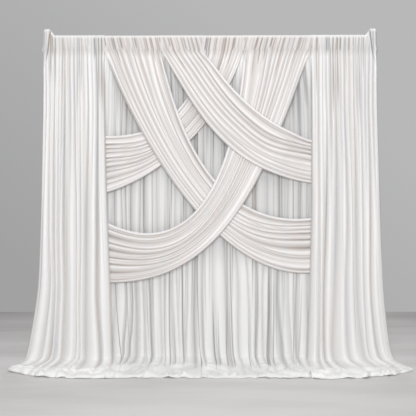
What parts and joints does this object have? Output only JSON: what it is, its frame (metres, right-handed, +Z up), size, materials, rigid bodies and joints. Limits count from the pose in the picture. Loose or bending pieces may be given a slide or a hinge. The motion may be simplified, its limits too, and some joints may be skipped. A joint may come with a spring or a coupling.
{
  "type": "pipe and drape backdrop",
  "caption": "Free-standing backdrop: telescoping slotted uprights on flat steel bases and a telescoping hooked crossbar that carries gathered drapes and a braid of crossing swags.",
  "frame": {"origin": "middle of the footprint's box, on the floor", "axes": "+X along the crossbar to the viewer's right, +Z up, and the front with the swags faces -Y"},
  "size_m": [3.5968, 0.6036, 3.1101],
  "materials": {
    "powder_coated_steel": "satin powder coat",
    "zinc_plated_steel": "bright zinc",
    "anodised_aluminium": "satin anodised",
    "black_nylon": "moulded, fine grain",
    "side_drape_fabric": "soft matte stretch knit",
    "back_drape_fabric": "soft matte stretch knit",
    "swag_fabric": "soft matte stretch knit"
  },
  "bodies": {
    "left_lower_upright": {"left_base_plate": "powder_coated_steel", "left_base_spigot": "zinc_plated_steel", "left_spigot_bolt": "zinc_plated_steel", "left_set_screw": "zinc_plated_steel", "left_lower_tube": "anodised_aluminium", "left_slip_collar": "black_nylon"},
    "left_clamp": {"left_clamp_screw": "zinc_plated_steel", "left_clamp_knob": "black_nylon"},
    "left_top_section": {"left_mast": "anodised_aluminium", "left_mast_guide": "black_nylon", "left_mast_cap": "black_nylon"},
    "outer_crossbar": {"outer_bar_tube": "anodised_aluminium", "bar_mouth_bushing": "black_nylon", "left_end_plug": "black_nylon", "left_hook_blade": "zinc_plated_steel", "left_hook_rivet_1": "zinc_plated_steel", "left_hook_rivet_2": "zinc_plated_steel", "left_side_drape": "side_drape_fabric", "left_back_drape": "back_drape_fabric", "outer_left_swag": "swag_fabric", "inner_left_swag": "swag_fabric"},
    "inner_crossbar": {"inner_bar_tube": "anodised_aluminium", "inner_bar_stop": "black_nylon", "right_end_plug": "black_nylon", "right_hook_blade": "zinc_plated_steel", "right_hook_rivet_1": "zinc_plated_steel", "right_hook_rivet_2": "zinc_plated_steel", "right_side_drape": "side_drape_fabric", "right_back_drape": "back_drape_fabric", "inner_right_swag": "swag_fabric", "outer_right_swag": "swag_fabric"},
    "right_top_section": {"right_mast": "anodised_aluminium", "right_mast_guide": "black_nylon", "right_mast_cap": "black_nylon"},
    "right_clamp": {"right_clamp_screw": "zinc_plated_steel", "right_clamp_knob": "black_nylon"},
    "right_lower_upright": {"right_base_plate": "powder_coated_steel", "right_base_spigot": "zinc_plated_steel", "right_spigot_bolt": "zinc_plated_steel", "right_set_screw": "zinc_plated_steel", "right_lower_tube": "anodised_aluminium", "right_slip_collar": "black_nylon"}
  },
  "joints": [
    {"name": "height", "type": "slide", "parent": "left_lower_upright", "child": "left_top_section", "axis": [0, 0, 1], "range_m": [-0.7, 0], "deforming": ["left_side_drape", "right_side_drape", "left_back_drape", "right_back_drape"]},
    {"name": "hook_lift", "type": "slide", "parent": "left_top_section", "child": "outer_crossbar", "axis": [0, 0, 1], "range_m": [0, 0.02]},
    {"name": "width", "type": "slide", "parent": "outer_crossbar", "child": "inner_crossbar", "axis": [1, 0, 0], "range_m": [-1.2, 0], "deforming": ["left_side_drape", "right_side_drape", "left_back_drape", "right_back_drape", "inner_right_swag", "outer_left_swag", "outer_right_swag", "inner_left_swag"]},
    {"name": "right_hook_lift", "type": "slide", "parent": "inner_crossbar", "child": "right_top_section", "axis": [0, 0, 1], "range_m": [-0.02, 0]},
    {"name": "right_height", "type": "slide", "parent": "right_top_section", "child": "right_lower_upright", "axis": [0, 0, 1], "range_m": [0, 0.7]},
    {"name": "left_clamp_turn", "type": "hinge", "parent": "left_lower_upright", "child": "left_clamp", "pos_m": [-1.524, 0.12375, 2.1102], "axis": [0, 1, 0], "range_deg": [0, 360]},
    {"name": "right_clamp_turn", "type": "hinge", "parent": "right_lower_upright", "child": "right_clamp", "pos_m": [1.524, 0.12375, 2.1102], "axis": [0, 1, 0], "range_deg": [0, 360]}
  ],
  "couplings": [
    {"joint": "right_hook_lift", "follows": "hook_lift", "ratio": -1},
    {"joint": "right_height", "follows": "height", "ratio": -1}
  ]
}
